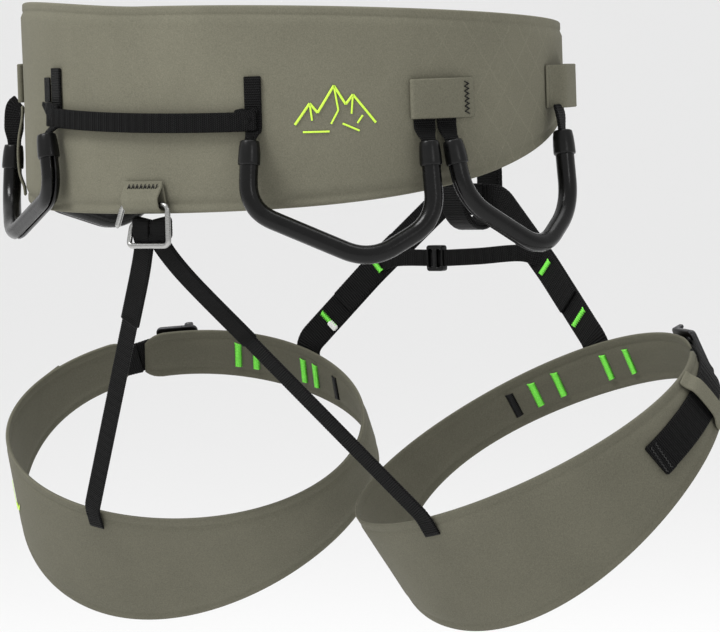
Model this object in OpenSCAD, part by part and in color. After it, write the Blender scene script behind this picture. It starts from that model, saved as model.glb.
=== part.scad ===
// Sit harness for climbing: a stiff laminated waist belt, two leg loops, four moulded
// gear loops, a belay loop and a hook-in rear suspension, each as its own solid.
// +X is the wearer's right, +Y is forward, +Z is up.
// The origin is the centre of the waist opening, half way up the belt's back.

/* [Waist belt] */
// Half width of the belt, at its outer face
belt_half_w = 158; // [140:1:175]
// Half depth of the belt from back to front, at its outer face
belt_half_d = 127; // [112:1:142]
// Mean height of the belt's top edge
belt_top_z = 45.2; // [35:0.1:60]
// Mean height of the belt's bottom edge
belt_bottom_z = -24.2; // [-32:0.1:-14]
// How far the top edge stands higher on the wearer's left side of the back
left_lift = 7.2; // [0:0.1:10]
// Angle from the back centre to each padded end
belt_end_angle = 150; // [140:1:155]
// Thickness of each laminated face
face_t = 1.4; // [1:0.1:2]
// Thickness of the load webbing between the faces
core_t = 1.0; // [0.6:0.1:1.2]

/* [Webbing] */
// Width of the waist webbing
waist_web_w = 22; // [18:1:25]
// Height of the waist webbing's centre line at the front
waist_web_z = 24; // [22:0.5:26]
// Width of the leg loop webbing
leg_web_w = 19; // [15:1:20]
// Thickness of load-bearing webbing
web_t = 1.8; // [1.2:0.1:2.2]
// Width of the webbing that joins the leg loops at the front
front_riser_w = 17; // [14:1:20]
// Width of the narrow webbing of the haul loop and the gear loop ends
narrow_w = 9; // [8:0.5:12]
// Width of each rear riser
rear_riser_w = 11.6; // [9:0.1:13]

/* [Gear loops] */
// Outer radius of a moulded gear loop
tube_r = 5; // [4:0.1:6]
// Wall of a moulded gear loop
tube_wall = 1.3; // [1:0.1:1.6]
// Opening angle of the slit along the outer curve of a gear loop
tube_slit = 30; // [20:5:60]
// Length of the sleeve on each end of a gear loop
sleeve_len = 12.5; // [8:0.5:16]

/* [Belay loop] */
// Width of the belay loop's webbing
belay_w = 16; // [14:1:18]
// Thickness of the belay loop's stitched webbing
belay_t = 4; // [3:0.5:5]
// Height of the belay loop, outside
belay_h = 90; // [80:1:100]
// Depth of the belay loop, outside
belay_d = 36; // [30:1:40]
// Height of the axis on which the leg loops hang at the front
front_axis_z = -58; // [-62:1:-54]
// Distance of that axis in front of the origin
front_axis_y = 151; // [148:1:155]

/* [Rear hook] */
// Outer width of the rear hook's frame
hook_w = 31; // [26:1:34]
// Height between the hook's two bars
hook_h = 21.5; // [18:0.5:24]
// Diameter of the hook's steel rod
hook_rod_d = 3; // [2.5:0.1:4]
// Sideways place of the hook under its tab
hook_x = 9.5; // [0:0.5:14]

/* [Leg loops] */
// Sideways place of a leg loop's centre
leg_x = 120; // [115:1:135]
// Place of that centre in front of the origin
leg_y = 40; // [30:1:50]
// Height of the upper rim's centre
leg_z = -178; // [-190:1:-170]
// Half width of the upper rim
leg_half_w = 105; // [95:1:110]
// Half depth of the upper rim
leg_half_d = 78; // [70:1:85]
// Turn of the leg loop's long axis towards the back
leg_turn = -10; // [-15:1:0]
// Rise of the rims towards the outside, per mm
leg_side_rise = 0.25; // [0.1:0.01:0.3]
// Rise of the upper rim towards the front, per mm
leg_fore_rise = 0.54; // [0.4:0.01:0.6]
// Rise of the lower rim towards the front, per mm
leg_low_fore_rise = 0.935; // [0.8:0.005:1]
// Place of the lower rim's centre from the upper one's
leg_low_shift = [9, 21, -30];
// Half width and half depth of the lower rim
leg_low_half = [109, 65];
// How far the lower rim sags at its front and back
leg_low_sag = 23; // [15:1:28]

/* [Hidden] */

olive = [0.48, 0.47, 0.42];
olive_dark = [0.30, 0.29, 0.25];
black_web = [0.06, 0.06, 0.06];
black_plastic = [0.09, 0.09, 0.09];
steel = [0.62, 0.62, 0.60];
lime = [0.45, 0.85, 0.25];

// Running clearance between pieces on different bodies
gap = 0.4;
// Angle between neighbouring sections of the belt and of the leg loops
belt_step = 5;
leg_step = 6;
// Gear loop corners: angle round the belt, height, distance outside the belt
rear_loop = [[26.4, -17, 8], [26.2, -52.5, 13.5], [49.3, -81, 17], [62.8, -61, 13.5], [62.5, -20, 8]];
front_loop = [[67.8, -20, 8], [69.4, -51, 13.5], [87.8, -79.5, 17], [100.5, -58, 13.5], [103, -18, 8]];
// The left loops hang higher, closer in and further forward; angles are counted towards the left
rear_loop_left = [[24.5, -12, 8], [22, -43, 9], [49, -67, 8.5], [62, -47, 10], [62.5, -19, 8]];
front_loop_left = [[82, -14, 8], [84.5, -50, 13], [107, -66, 16], [117, -47, 13.5], [119, -10, 8]];
loop_round = 15;
// Leg loop rims: centre, half width and half depth, rise towards the front, arch
leg_top = [[leg_x, leg_y, leg_z], [leg_half_w, leg_half_d], leg_fore_rise, 2.5];
leg_low = [leg_top[0] + leg_low_shift, leg_low_half, leg_low_fore_rise, -leg_low_sag];
// Angles round a leg loop where the pad starts and ends
pad_start = 50;
pad_end = 44 + 360;

function unit(v) = v / norm(v);
function mix(a, b, k) = a * (1 - k) + b * k;
function range(a, b, step) = let (n = ceil(abs(b - a) / step)) [for (i = [0 : n]) a + (b - a) * i / n];

// ---- Belt surface: t is the angle from the back centre towards the wearer's right ----
function belt_n(t) = unit([sin(t) / belt_half_w, -cos(t) / belt_half_d, 0]);
function belt_dir(t) = let (n = belt_n(t)) [-n[1], n[0], 0];
function belt_at(t, z, off) = [belt_half_w * sin(t), -belt_half_d * cos(t), z] + off * belt_n(t);
function belt_lift(t) = t > -112.5 && t < 0 ? left_lift * pow(sin(-1.6 * t), 1.4) : 0;
function belt_top(t) = belt_top_z + 10.2 * cos(t) + belt_lift(t);
function belt_low(t) = belt_bottom_z - 37.5 * cos(t) + 7.4 * cos(2 * t);
function belt_mid(t) = (belt_top(t) - belt_lift(t) + belt_low(t)) / 2;

// ---- Leg loop surface: a is the angle (0 outward, 90 forward), v runs down the band ----
function leg_rim(r, a) =
    let (px = r[1][0] * cos(a), py = r[1][1] * sin(a),
         x = px * cos(leg_turn) - py * sin(leg_turn),
         y = px * sin(leg_turn) + py * cos(leg_turn))
    r[0] + [x, y, leg_side_rise * x + r[2] * y + r[3] * pow(y / 90, 2)];
function leg_mid(a, v) = mix(leg_rim(leg_top, a), leg_rim(leg_low, a), v);
function leg_dir(a, v) = unit(leg_mid(a + 1, v) - leg_mid(a - 1, v));
function leg_down(a) = unit(leg_rim(leg_low, a) - leg_rim(leg_top, a));
function leg_n(a, v) = unit(cross(leg_down(a), leg_dir(a, v)));
function leg_at(a, v, off) = leg_mid(a, v) + off * leg_n(a, v);

// ---- Path helpers ----
function corner(a, b, c, r, n) =
    let (p = b + r * unit(a - b), q = b + r * unit(c - b))
    [for (i = [0 : n]) let (k = i / n) mix(mix(p, b, k), mix(b, q, k), k)];
function rounded(pts, r, n) = [
    pts[0],
    for (i = [1 : len(pts) - 2]) each corner(pts[i - 1], pts[i], pts[i + 1], r, n),
    pts[len(pts) - 1]
];
function tangent(path, i) = unit(path[min(i + 1, len(path) - 1)] - path[max(i - 1, 0)]);

// Solid between successive rings of points, with flat ends
module loft(rings) {
    n = len(rings[0]);
    m = len(rings);
    polyhedron(
        points = [for (r = rings) each r],
        faces = [
            [for (i = [0 : n - 1]) i],
            for (k = [0 : m - 2], i = [0 : n - 1]) [k * n + i, (k + 1) * n + i, k * n + (i + 1) % n],
            for (k = [0 : m - 2], i = [0 : n - 1])
                [(k + 1) * n + i, (k + 1) * n + (i + 1) % n, k * n + (i + 1) % n],
            [for (i = [n - 1 : -1 : 0]) (m - 1) * n + i]
        ]);
}

// Flat strap along a path; across holds the width direction at each point
module strap(path, across, w, t) {
    loft([for (i = [0 : len(path) - 1])
        let (a = is_list(across[0]) ? across[i] : across,
             s = unit(a - (a * tangent(path, i)) * tangent(path, i)),
             n = cross(tangent(path, i), s))
        [path[i] + s * w / 2 + n * t / 2, path[i] - s * w / 2 + n * t / 2,
         path[i] - s * w / 2 - n * t / 2, path[i] + s * w / 2 - n * t / 2]]);
}

// Strap that lies on the belt between two angles, at an offset and a height
module belt_strap(t0, t1, z, off, w, t) {
    ts = range(t0, t1, belt_step);
    strap([for (a = ts) belt_at(a, z, off)], [0, 0, 1], w, t);
}

// Layer of the belt from one offset to another; trim narrows it at both edges
module belt_layer(off_out, off_in, trim) {
    ts = range(-belt_end_angle, belt_end_angle, belt_step);
    loft([for (t = ts) [
        belt_at(t, belt_top(t) - trim, off_out), belt_at(t, belt_low(t) + trim, off_out),
        belt_at(t, belt_low(t) + trim, off_in), belt_at(t, belt_top(t) - trim, off_in)]]);
}

// Layer of the right leg loop
module leg_layer(off_out, off_in, v0, v1) {
    loft([for (a = range(pad_start, pad_end, leg_step)) [
        leg_at(a, v0, off_out), leg_at(a, v1, off_out),
        leg_at(a, v1, off_in), leg_at(a, v0, off_in)]]);
}

// Stands its children on a surface: x along the strap, y across it, z outward
module on_surface(p, along, out) {
    y = unit(cross(out, along));
    x = unit(cross(y, out));
    z = unit(out);
    multmatrix([[x[0], y[0], z[0], p[0]], [x[1], y[1], z[1], p[1]], [x[2], y[2], z[2], p[2]], [0, 0, 0, 1]])
        children();
}
module on_belt(t, z, off) {
    on_surface(belt_at(t, z, off), belt_dir(t), belt_n(t)) children();
}
module on_leg(a, v, off) {
    on_surface(leg_at(a, v, off), -leg_dir(a, v), leg_n(a, v)) children();
}

// ---- Waist belt ----
module belt_shell() {
    color(olive) belt_layer(0, -face_t, 0);
}
module belt_core() {
    ts = range(-belt_end_angle + 2, belt_end_angle - 2, belt_step);
    off_out = -face_t - 0.1;
    color(black_web) loft([for (t = ts)
        let (half = mix(20, waist_web_w / 2 - 1, pow(abs(t) / belt_end_angle, 2)))
        [belt_at(t, belt_mid(t) + half, off_out), belt_at(t, belt_mid(t) - half, off_out),
         belt_at(t, belt_mid(t) - half, off_out - core_t), belt_at(t, belt_mid(t) + half, off_out - core_t)]]);
}
module belt_lining() {
    color(olive_dark) belt_layer(-face_t - core_t - 0.2, -2 * face_t - core_t - 0.2, 1);
}

// ---- Waist closure ----
buckle_angle = 200;
module waist_webbing() {
    color(black_web) belt_strap(belt_end_angle + 0.5, buckle_angle - 4, waist_web_z, -2, waist_web_w, web_t);
}
module waist_anchor_webbing() {
    color(black_web) belt_strap(buckle_angle + 5, 360 - belt_end_angle - 0.5, waist_web_z, -2, waist_web_w, web_t);
}
module waist_tail() {
    color(black_web) belt_strap(157, buckle_angle - 5, waist_web_z, 0.6, waist_web_w, web_t);
}
module waist_tail_keeper() {
    color(black_web) on_belt(166, waist_web_z, -0.8) difference() {
        cube([11, waist_web_w + 4, 8], center = true);
        cube([12, waist_web_w + 1, 5.6], center = true);
    }
}
// Two-piece buckle: a base frame with lugs, and a lever frame that tilts on a pin in them
pin_r = 1;
pin_x = -7;
pin_z = 3.8;
module buckle_base(w) {
    lug_y = w / 2 + 4.2;
    difference() {
        union() {
            translate([0, 0, 1]) cube([24, w + 10, 2], center = true);
            for (m = [-1, 1]) translate([pin_x, m * lug_y, 3.1]) cube([4.6, 1.6, 4.2], center = true);
        }
        translate([-6.5, 0, 1]) cube([5, w + 2, 3], center = true);
        translate([6, 0, 1]) cube([6, w + 2, 3], center = true);
        translate([pin_x, -w, pin_z]) rotate([-90, 0, 0]) cylinder(h = 2 * w, r = pin_r + 0.06, $fn = 48);
    }
}
module buckle_lever(w) {
    difference() {
        union() {
            translate([1, 0, pin_z]) cube([15, w + 6, 2], center = true);
            translate([pin_x, -w / 2 - 5, pin_z]) rotate([-90, 0, 0]) cylinder(h = w + 10, r = pin_r, $fn = 48);
        }
        translate([2, 0, pin_z]) cube([7, w - 1, 3], center = true);
    }
}
module waist_buckle_base() {
    color(black_plastic) on_belt(buckle_angle, waist_web_z, 2) buckle_base(waist_web_w);
}
module waist_buckle_lever() {
    color(black_plastic) on_belt(buckle_angle, waist_web_z, 2) buckle_lever(waist_web_w);
}
module upper_tie_in() {
    half = 26;
    inner_y = 120.1;
    low_z = belay_bottom() + belay_h - belay_t - 7;
    up_z = waist_web_z + 11;
    turn_z = waist_web_z - 15;
    path = rounded([[-half, inner_y, up_z], [-half, inner_y, turn_z], [-half + 4, front_axis_y, low_z],
                    [half - 4, front_axis_y, low_z], [half, inner_y, turn_z], [half, inner_y, up_z]], 5, 3);
    n = len(path);
    color(black_web) strap(path, [for (i = [0 : n - 1])
        let (k = min(i, n - 1 - i) / 5) k < 1 ? [i < n / 2 ? -1 : 1, 0, 0.001] + [0, 0, 1] * max(0, k - 0.4)
                                              : [0, 0, 1]], 11, 2.4);
}
function belay_bottom() = front_axis_z - 17;
module belay_loop() {
    r = belay_d / 2;
    color(black_web) translate([-belay_w / 2, front_axis_y, belay_bottom()]) rotate([90, 0, 90])
        linear_extrude(belay_w) difference() {
            union() {
                translate([0, r]) circle(r = r, $fn = 64);
                translate([0, belay_h - r]) circle(r = r, $fn = 64);
                translate([-r, r]) square([2 * r, belay_h - 2 * r]);
            }
            translate([0, r]) circle(r = r - belay_t, $fn = 64);
            translate([0, belay_h - r]) circle(r = r - belay_t, $fn = 64);
            translate([-r + belay_t, r]) square([2 * (r - belay_t), belay_h - 2 * r]);
        }
}

// ---- Haul loop and gear loop anchors ----
// Sewn to the belt at z_top; bulge is how far it stands out before it reaches the gear loop at z_low
module anchor(t, z_top, z_low, bulge) {
    off_low = 7;
    strap([belt_at(t, z_top, 1.1), belt_at(t, z_low + 3.4, 1.1 + bulge), belt_at(t, z_low + 1, off_low)],
          belt_dir(t), narrow_w, 1.6);
}
module gear_anchors_right() {
    color(black_web) {
        anchor(26.4, 17, rear_loop[0][1] + 1, 0);
        anchor(62.5, -8.5, rear_loop[4][1] + 1, 0);
        anchor(67.8, -8.5, front_loop[0][1] + 1, 0);
        anchor(103, -7, front_loop[4][1] + 1, 0);
    }
}
module gear_anchors_left() {
    color(black_web) mirror([1, 0, 0]) {
        anchor(24.5, 23.6, rear_loop_left[0][1] + 0.6, 0);
        anchor(62.5, 4, rear_loop_left[4][1] + 1, 7);
        anchor(82, 3, front_loop_left[0][1] + 1, 0);
        anchor(119, -1, front_loop_left[4][1] + 1, 0);
    }
}
module haul_strap() {
    color(black_web) strap([for (t = range(-28, 28, belt_step)) belt_at(t, -4.4 - 0.08 * t, 3.5)], [0, 0, 1],
                           10, 1.4);
}
module haul_label() {
    color(black_web) on_belt(-28.4, 12, 0.3) translate([-2.5, -6, 0]) cube([5, 12, 0.6]);
}

// ---- Fabric tabs ----
// Flat tab sewn at both ends, with a slot behind its middle
module tab(t0, t1, z, h, rise) {
    w = t1 - t0;
    angles = [t0, t0 + w * 0.16, t0 + w * 0.3, t0 + w * 0.5, t0 + w * 0.7, t0 + w * 0.84, t1];
    rises = [0, 0.05, 0.8, 1, 0.8, 0.05, 0];
    strap([for (i = [0 : 6]) belt_at(angles[i], z, 0.9 + rise * rises[i])], [0, 0, 1], h, 1.3);
}
module side_tab_right() { color(olive) tab(59.5, 75, 2.5, 21, 2.5); }
module side_tab_left() { color(olive) mirror([1, 0, 0]) tab(59.5, 75, 15, 21, 2.5); }
// Narrow olive strap that stands on the left side of the belt
module side_strap_left() {
    t = -57.2;
    heights = [3, -4, -14, -24, -34, -41, -46];
    rises = [0, 0.3, 2.4, 3.2, 2.6, 0.4, 0];
    color(olive) strap([for (i = [0 : 6]) belt_at(t, heights[i], 0.9 + rises[i])], belt_dir(t), 8.5, 1.3);
}
module front_tab_right() { color(olive) tab(101.5, 116, 6, 23, 6.4); }
module front_tab_left() { color(olive) mirror([1, 0, 0]) tab(121.5, 136, 6, 23, 6.4); }

// ---- Gear loops ----
function loop_points(corners) = [for (c = corners) belt_at(c[0], c[1], c[2])];
function loop_path(corners) = rounded(loop_points(corners), loop_round, 6);
function loop_out(corners, i, m) =
    belt_n(mix(corners[0][0], corners[len(corners) - 1][0], i / (m - 1)));
// Open section of the moulded tube: outer arc one way, inner arc back
function tube_section(p, along, out) =
    let (x = unit(cross(out, along)), z = unit(cross(along, x)),
         r_in = tube_r - tube_wall, n = 9, a0 = 180 + tube_slit / 2, da = (360 - tube_slit) / (n - 1))
    concat([for (i = [0 : n - 1]) p + tube_r * (x * cos(a0 + i * da) + z * sin(a0 + i * da))],
           [for (i = [n - 1 : -1 : 0]) p + r_in * (x * cos(a0 + i * da) + z * sin(a0 + i * da))]);
module gear_tube(corners) {
    path = loop_path(corners);
    m = len(path);
    color(black_plastic) loft([for (i = [0 : m - 1])
        tube_section(path[i], tangent(path, i), loop_out(corners, i, m))]);
}
module gear_core(corners) {
    path = loop_path(corners);
    m = len(path);
    color(black_web) strap(path,
        [for (i = [0 : m - 1]) cross(loop_out(corners, i, m), tangent(path, i))], 4.6, 1.8);
}
// Straight sleeve from an end point along the tube
module sleeve(p, q) {
    v = q - p;
    translate(p) rotate([0, acos(v[2] / norm(v)), atan2(v[1], v[0])]) difference() {
        cylinder(h = sleeve_len, r = tube_r + 0.9, $fn = 48);
        translate([0, 0, -1]) cylinder(h = sleeve_len + 2, r = tube_r + 0.1, $fn = 48);
    }
}
module gear_sleeves(corners) {
    p = loop_points(corners);
    color(black_plastic) {
        sleeve(p[0], p[1]);
        sleeve(p[4], p[3]);
    }
}
module gear_tube_rear_right() { gear_tube(rear_loop); }
module gear_core_rear_right() { gear_core(rear_loop); }
module gear_sleeves_rear_right() { gear_sleeves(rear_loop); }
module gear_tube_front_right() { gear_tube(front_loop); }
module gear_core_front_right() { gear_core(front_loop); }
module gear_sleeves_front_right() { gear_sleeves(front_loop); }
module gear_tube_rear_left() { mirror([1, 0, 0]) gear_tube(rear_loop_left); }
module gear_core_rear_left() { mirror([1, 0, 0]) gear_core(rear_loop_left); }
module gear_sleeves_rear_left() { mirror([1, 0, 0]) gear_sleeves(rear_loop_left); }
module gear_tube_front_left() { mirror([1, 0, 0]) gear_tube(front_loop_left); }
module gear_core_front_left() { mirror([1, 0, 0]) gear_core(front_loop_left); }
module gear_sleeves_front_left() { mirror([1, 0, 0]) gear_sleeves(front_loop_left); }

// ---- Rear suspension ----
hook_r = hook_rod_d / 2;
hook_low_z = -71;
hook_y = -belt_half_d - 4.6;
// The bar that the elastics go round lies behind the hook's lower bar
hook_mid_y = -belt_half_d - 1.2;
hook_mid_z = -59.3;
// Fabric fold that the hook's upper bar hangs in
module rear_tab() {
    bar_z = hook_low_z + hook_h;
    fold = [[-1.6, -36], [-1.6, -40], [-7.6, bar_z + 2.2], [-8.2, bar_z - 1.6], [-5, bar_z - 3.4],
            [-1.2, bar_z - 2.4], [-0.2, bar_z + 3], [-0.2, -36]];
    inner = [[-3.2, bar_z + 5], [-6.8, bar_z + 1.6], [-7, bar_z - 1.2], [-5, bar_z - 2.3], [-2.6, bar_z - 1.6]];
    color(olive) translate([hook_x - 12.2, -belt_half_d, 0]) rotate([90, 0, 90])
        linear_extrude(23) difference() {
            polygon(fold);
            polygon(inner);
        }
}
// Bent steel rod: bar for the elastics, left arm, lower bar, right arm, upper bar and the free tongue
module rear_hook() {
    x0 = hook_x - hook_w / 2 + hook_r;
    x1 = hook_x + hook_w / 2 - hook_r;
    top_z = hook_low_z + hook_h;
    path = rounded([[x1 - 2.6, hook_mid_y, hook_mid_z], [x0, hook_mid_y, hook_mid_z], [x0, hook_y, hook_low_z],
                    [x1, hook_y, hook_low_z], [x1, hook_y, top_z], [x0 - 3, hook_y, top_z],
                    [x0 - 7, hook_y - 1, top_z - 12]], 3.2, 4);
    color(steel) loft([for (i = [0 : len(path) - 1])
        let (x = unit(cross([0.02, 1, 0.01], tangent(path, i))), y = cross(tangent(path, i), x))
        [for (k = [0 : 9]) path[i] + hook_r * (x * cos(k * 36) + y * sin(k * 36))]]);
}
// Straps from the hook's lower bar to the back of each leg loop
function riser_top(s) = [hook_x + s * 6.1, hook_mid_y, hook_low_z - 3.2];
function on_side_pt(s, p) = [s * p[0], p[1], p[2]];
function riser_end(s) = on_side_pt(s, leg_at(276, -0.03, 3.2));
function riser_break(s) = mix(riser_top(s), riser_end(s), s > 0 ? 0.34 : 0.27);
module elastic_side(s, side) {
    top = riser_top(s);
    wide = [0, side * 2.3, 0];
    slim = [0, side * 0.9, 0];
    strap([[top[0], top[1], hook_mid_z + 1.7] + wide, [top[0], top[1], hook_low_z + 4.6] + wide,
           [top[0], top[1], hook_low_z + 0.4] + slim, riser_break(s) + slim], [1, 0, 0.2 * s], rear_riser_w, 1.4);
}
module elastic(s) {
    color(black_web) {
        elastic_side(s, -1);
        elastic_side(s, 1);
        translate([riser_top(s)[0] - rear_riser_w / 2, hook_mid_y - 3, hook_mid_z + 1.7]) cube([rear_riser_w, 6, 1.4]);
    }
}
module rear_strap(s) {
    d = unit(riser_end(s) - riser_break(s));
    foot = on_side_pt(s, leg_at(276, 0.14, 2.6));
    color(black_web) strap([riser_break(s) + 1.2 * d, riser_end(s), foot], [1, 0, 0.3 * s], rear_riser_w - 1, 1.5);
}
module rear_elastic_right() { elastic(1); }
module rear_elastic_left() { elastic(-1); }
module rear_strap_right() { rear_strap(1); }
module rear_strap_left() { rear_strap(-1); }

// ---- Front suspension ----
tie_half = 12;
riser_bend = [62, 140, -96];
module lower_tie_in() {
    color(black_web) strap([[-tie_half, front_axis_y, front_axis_z], [tie_half, front_axis_y, front_axis_z]],
                           [0, 0, 1], front_riser_w, 3);
}
module front_riser(foot_angle, foot_height) {
    start = [tie_half + gap, front_axis_y, front_axis_z];
    foot = leg_at(foot_angle, -foot_height, 0);
    path = rounded([start, start + [7, 0, 0], riser_bend, foot], 5, 4);
    color(black_web) strap(path, [for (i = [0 : len(path) - 1]) cross(tangent(path, i), [0, -1, 0])],
                           front_riser_w, 2);
}
module front_riser_right() { front_riser(104, 0.17); }
module front_riser_left() { mirror([1, 0, 0]) front_riser(110, 0.14); }
slider_x = -15;
cross_y = 137;
cross_z = -90;
module cross_strap_right() {
    color(black_web) strap([[slider_x + 5.8, cross_y, cross_z], [15, cross_y, cross_z + 1], [44, cross_y, cross_z + 2.4]],
                           [0, 0, 1], 9, 1.4);
}
module cross_strap_left() {
    color(black_web) strap([[slider_x + 5.4, cross_y, cross_z], [-44, cross_y, cross_z]],
                           [0, 0, 1], 9, 1.4);
}
module cross_strap_slider() {
    color(black_plastic) translate([slider_x, cross_y, cross_z]) difference() {
        cube([11, 5, 14], center = true);
        translate([-3, 0, 0]) cube([3, 6, 9.8], center = true);
        translate([3, 0, 0]) cube([3, 6, 9.8], center = true);
        cube([12, 2.2, 9.8], center = true);
    }
}

// ---- Leg loops ----
module leg_shell_right() { color(olive) leg_layer(1.5, 0.2, 0, 1); }
module leg_shell_left() { mirror([1, 0, 0]) leg_shell_right(); }
module leg_lining_right() { color(olive_dark) leg_layer(0, -1.3, 0.015, 0.985); }
module leg_lining_left() { mirror([1, 0, 0]) leg_lining_right(); }
module leg_webbing_right() {
    angles = range(58, -9, leg_step);
    color(black_web) strap([for (a = angles) leg_at(a, 0.5, 2.6)], [for (a = angles) leg_down(a)],
                           leg_web_w, web_t);
}
module leg_webbing_left() { mirror([1, 0, 0]) leg_webbing_right(); }
module leg_keeper_right() {
    color(olive) on_leg(20, 0.5, 1.8) difference() {
        union() {
            translate([0, 0, 2]) cube([13, leg_web_w + 5, 4], center = true);
            translate([0, 0, 0.6]) cube([13, leg_web_w + 15, 1.2], center = true);
        }
        translate([0, 0, 1]) cube([14, leg_web_w + 1.4, 4], center = true);
    }
}
module leg_keeper_left() { mirror([1, 0, 0]) leg_keeper_right(); }
leg_buckle_angle = 65;
module leg_buckle_base_right() {
    color(black_plastic) on_leg(leg_buckle_angle, 0.5, 3.8) buckle_base(leg_web_w);
}
module leg_buckle_base_left() { mirror([1, 0, 0]) leg_buckle_base_right(); }
module leg_buckle_lever_right() {
    color(black_plastic) on_leg(leg_buckle_angle, 0.5, 3.8) buckle_lever(leg_web_w);
}
module leg_buckle_lever_left() { mirror([1, 0, 0]) leg_buckle_lever_right(); }

// Bar tacks: short ribs of thread that sew the tabs down
module bar_tacks() {
    color(lime) for (m = [0, 1]) mirror([m, 0, 0]) {
        z = m == 0 ? 2.5 : 15;
        on_belt(60.7, z, 1.6) translate([-0.8, -9, 0]) cube([1.6, 18, 0.5]);
        on_belt(73.6, z, 1.6) translate([-0.8, -9, 0]) cube([1.6, 18, 0.5]);
    }
}

belt_shell();
belt_core();
belt_lining();
waist_webbing();
waist_anchor_webbing();
waist_tail();
waist_tail_keeper();
waist_buckle_base();
waist_buckle_lever();
upper_tie_in();
belay_loop();
gear_anchors_right();
gear_anchors_left();
haul_strap();
haul_label();
side_tab_right();
side_tab_left();
side_strap_left();
front_tab_right();
front_tab_left();
gear_tube_rear_right();
gear_core_rear_right();
gear_sleeves_rear_right();
gear_tube_front_right();
gear_core_front_right();
gear_sleeves_front_right();
gear_tube_rear_left();
gear_core_rear_left();
gear_sleeves_rear_left();
gear_tube_front_left();
gear_core_front_left();
gear_sleeves_front_left();
rear_tab();
rear_hook();
lower_tie_in();
rear_elastic_right();
rear_elastic_left();
rear_strap_right();
rear_strap_left();
cross_strap_right();
cross_strap_left();
cross_strap_slider();
leg_shell_right();
leg_shell_left();
leg_lining_right();
leg_lining_left();
leg_webbing_right();
leg_webbing_left();
leg_keeper_right();
leg_keeper_left();
leg_buckle_base_right();
leg_buckle_base_left();
leg_buckle_lever_right();
leg_buckle_lever_left();
front_riser_right();
front_riser_left();
bar_tacks();
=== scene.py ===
from math import cos, sin, pi, radians, hypot, ceil

import bpy
from mathutils import Vector, Matrix, noise


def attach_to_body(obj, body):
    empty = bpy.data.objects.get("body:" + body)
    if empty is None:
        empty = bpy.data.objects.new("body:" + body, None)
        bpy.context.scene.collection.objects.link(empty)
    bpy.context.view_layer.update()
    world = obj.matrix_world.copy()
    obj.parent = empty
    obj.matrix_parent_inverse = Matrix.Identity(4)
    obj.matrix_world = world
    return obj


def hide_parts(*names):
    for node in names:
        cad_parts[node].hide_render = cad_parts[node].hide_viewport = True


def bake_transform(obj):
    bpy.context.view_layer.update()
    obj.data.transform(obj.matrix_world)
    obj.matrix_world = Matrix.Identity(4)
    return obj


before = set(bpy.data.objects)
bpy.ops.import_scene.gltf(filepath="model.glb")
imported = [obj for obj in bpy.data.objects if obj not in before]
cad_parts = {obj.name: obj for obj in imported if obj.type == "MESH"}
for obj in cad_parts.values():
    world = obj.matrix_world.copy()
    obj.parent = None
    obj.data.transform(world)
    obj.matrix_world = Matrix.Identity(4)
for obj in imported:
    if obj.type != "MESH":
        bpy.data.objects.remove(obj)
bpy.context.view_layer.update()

# Every size below is in millimetres and is turned into metres when a mesh is made.
MM = 0.001

# ---------------------------------------------------------------- the design's own surfaces
BELT_HALF_W = 158.0
BELT_HALF_D = 127.0
BELT_END = 150.0
WAIST_WEB_Z = 24.0
WAIST_WEB_W = 22.0
LEG_WEB_W = 19.0
LEG_TURN = radians(-10)
LEG_TOP = dict(centre=Vector((120, 40, -178)), half=(105, 78), fore=0.54, arch=2.5)
LEG_LOW = dict(centre=Vector((129, 61, -208)), half=(109, 65), fore=0.935, arch=-23)
LEG_SIDE_RISE = 0.25
PAD_START = 50.0
PAD_END = 404.0
# The ends of the left leg loop sit a little further round than those of the right one
LEFT_PAD_TURN = 3.6
FRONT_AXIS = Vector((0, 151, -58))
UP = Vector((0, 0, 1))
SIDEWAYS = Vector((1, 0, 0))
SIDES = (("right", 1), ("left", -1))
# Length of the laminated belt from one end to the other, in metres
BELT_RUN = 0.725


def cosd(a):
    return cos(radians(a))


def sind(a):
    return sin(radians(a))


def mirrored(p, s):
    """A point of the right-hand half, taken to side s."""
    return Vector((p[0] * s, p[1], p[2]))


def mirror_all(points, s):
    return [mirrored(p, s) for p in points]


def belt_n(t):
    return Vector((sind(t) / BELT_HALF_W, -cosd(t) / BELT_HALF_D, 0)).normalized()


def belt_dir(t):
    n = belt_n(t)
    return Vector((-n.y, n.x, 0))


def belt_at(t, z, off):
    return Vector((BELT_HALF_W * sind(t), -BELT_HALF_D * cosd(t), z)) + off * belt_n(t)


def belt_top(t):
    lift = 7.2 * sind(-1.6 * t) ** 1.4 if -112.5 < t < 0 else 0.0
    return 45.2 + 10.2 * cosd(t) + lift


def belt_low(t):
    return -24.2 - 37.5 * cosd(t) + 7.4 * cosd(2 * t)


def leg_rim(rim, a):
    px = rim["half"][0] * cosd(a)
    py = rim["half"][1] * sind(a)
    x = px * cos(LEG_TURN) - py * sin(LEG_TURN)
    y = px * sin(LEG_TURN) + py * cos(LEG_TURN)
    return rim["centre"] + Vector((x, y, LEG_SIDE_RISE * x + rim["fore"] * y + rim["arch"] * (y / 90) ** 2))


def leg_mid(a, v):
    return leg_rim(LEG_TOP, a).lerp(leg_rim(LEG_LOW, a), v)


def leg_down(a):
    return (leg_rim(LEG_LOW, a) - leg_rim(LEG_TOP, a)).normalized()


def leg_dir(a, v):
    return (leg_mid(a + 1, v) - leg_mid(a - 1, v)).normalized()


def leg_n(a, v):
    return leg_down(a).cross(leg_dir(a, v)).normalized()


def leg_at(a, v, off):
    return leg_mid(a, v) + off * leg_n(a, v)


def leg_height(a):
    return (leg_rim(LEG_LOW, a) - leg_rim(LEG_TOP, a)).length


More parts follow.
